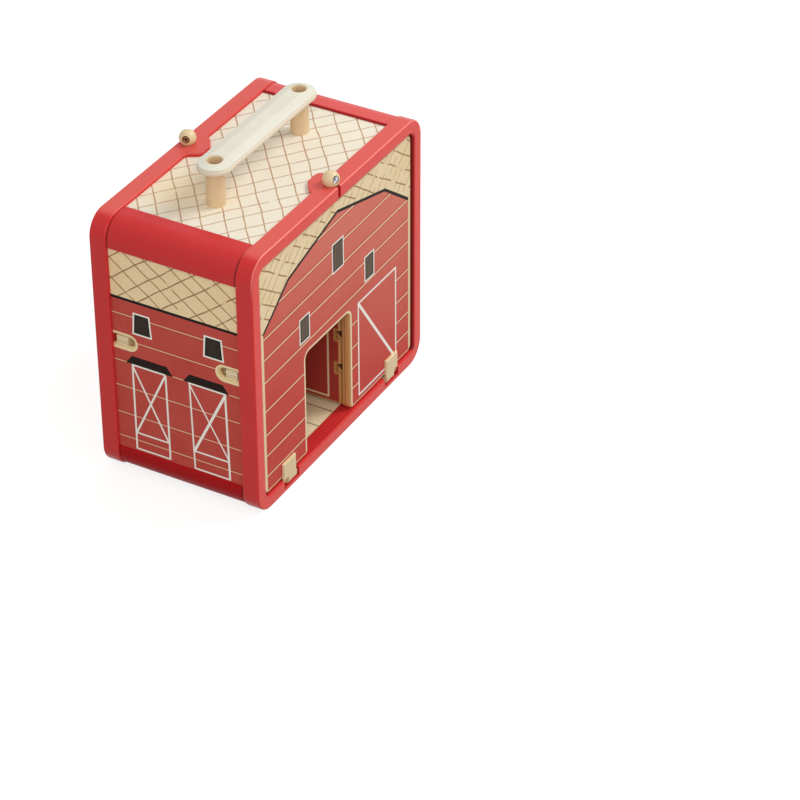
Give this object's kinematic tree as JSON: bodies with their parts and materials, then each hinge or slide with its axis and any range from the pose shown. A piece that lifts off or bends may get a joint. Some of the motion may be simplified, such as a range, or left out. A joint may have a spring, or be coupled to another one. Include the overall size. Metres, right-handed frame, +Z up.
{
  "type": "toy barn with opening doors",
  "caption": "Carry-along wooden toy barn: red rounded end frames, printed boards, gable ends that drop open as flaps, a doorway with hinged doors, a loft and a handle.",
  "frame": {"origin": "bottom centre of the barn, on the surface it stands on", "axes": "+X along the gable ends, to the right seen from the front; -Y out of the front gable with the doorway; +Z up, towards the handle"},
  "size_m": [0.28, 0.155, 0.288],
  "materials": {
    "frame_red": "satin red lacquer",
    "rail_red": "satin red lacquer",
    "roof_print": "plywood printed with a pale plank pattern",
    "floor_print": "plywood printed with plank lines",
    "side_print": "plywood printed with barn doors and windows",
    "gable_print": "plywood printed with a barn's gable",
    "door_print": "plywood printed red inside a cream edge",
    "plywood": "bare birch plywood",
    "dowel_wood": "bare beech dowel",
    "tab_wood": "bare birch",
    "bead_wood": "bare beech, polished",
    "handle_white": "off-white moulding",
    "handle_beige": "beige speckled moulding",
    "steel": "plain zinc-plated steel",
    "crimp_metal": "crimped sleeve",
    "elastic_cord": "braided elastic cord"
  },
  "bodies": {
    "barn": {"front_frame": "frame_red", "back_frame": "frame_red", "top_rail_left": "rail_red", "top_rail_right": "rail_red", "bottom_rail_left": "rail_red", "bottom_rail_right": "rail_red", "roof_board": "roof_print", "floor_board": "floor_print", "side_board_left": "side_print", "side_board_right": "side_print", "loft_floor": "plywood", "frame_dowels": "dowel_wood", "board_dowels": "dowel_wood", "handle_cover": "handle_white", "handle_base": "handle_beige", "handle_screws": "steel", "handle_washers": "steel", "handle_nuts": "steel", "front_flap_pins": "dowel_wood", "back_flap_pins": "dowel_wood"},
    "front_gable": {"front_flap": "gable_print", "front_tab_left": "tab_wood", "front_tab_right": "tab_wood", "door_brackets_right": "steel", "door_brackets_left": "steel", "door_screws_right": "steel", "door_screws_left": "steel", "front_flap_cord": "elastic_cord"},
    "back_gable": {"back_flap": "gable_print", "back_tab_left": "tab_wood", "back_tab_right": "tab_wood", "back_flap_cord": "elastic_cord"},
    "right_door": {"door_right": "door_print", "door_pins_right": "steel"},
    "left_door": {"door_left": "door_print", "door_pins_left": "steel"},
    "front_closure": {"front_bead": "bead_wood", "front_bead_crimp": "crimp_metal", "front_bead_cord": "elastic_cord"},
    "back_closure": {"back_bead": "bead_wood", "back_bead_crimp": "crimp_metal", "back_bead_cord": "elastic_cord"}
  },
  "joints": [
    {"name": "front_flap_hinge", "type": "hinge", "parent": "barn", "child": "front_gable", "pos_m": [0, -0.0741, 0.0082], "axis": [1, 0, 0], "range_deg": [0, 91.5]},
    {"name": "back_flap_hinge", "type": "hinge", "parent": "barn", "child": "back_gable", "pos_m": [0, 0.0741, 0.0082], "axis": [-1, 0, 0], "range_deg": [0, 91.5]},
    {"name": "right_door_hinge", "type": "hinge", "parent": "front_gable", "child": "right_door", "pos_m": [0.0222, -0.0627, 0.06], "axis": [0, 0, 1], "range_deg": [0, 90]},
    {"name": "left_door_hinge", "type": "hinge", "parent": "front_gable", "child": "left_door", "pos_m": [-0.0592, -0.0627, 0.06], "axis": [0, 0, -1], "range_deg": [0, 90]},
    {"name": "front_bead_pull", "type": "slide", "parent": "barn", "child": "front_closure", "axis": [0, -0.5, 0.866], "range_m": [0, 0.03], "stiffness_N_per_m": 80},
    {"name": "back_bead_pull", "type": "slide", "parent": "barn", "child": "back_closure", "axis": [0, 0.5, 0.866], "range_m": [0, 0.03], "stiffness_N_per_m": 80}
  ]
}
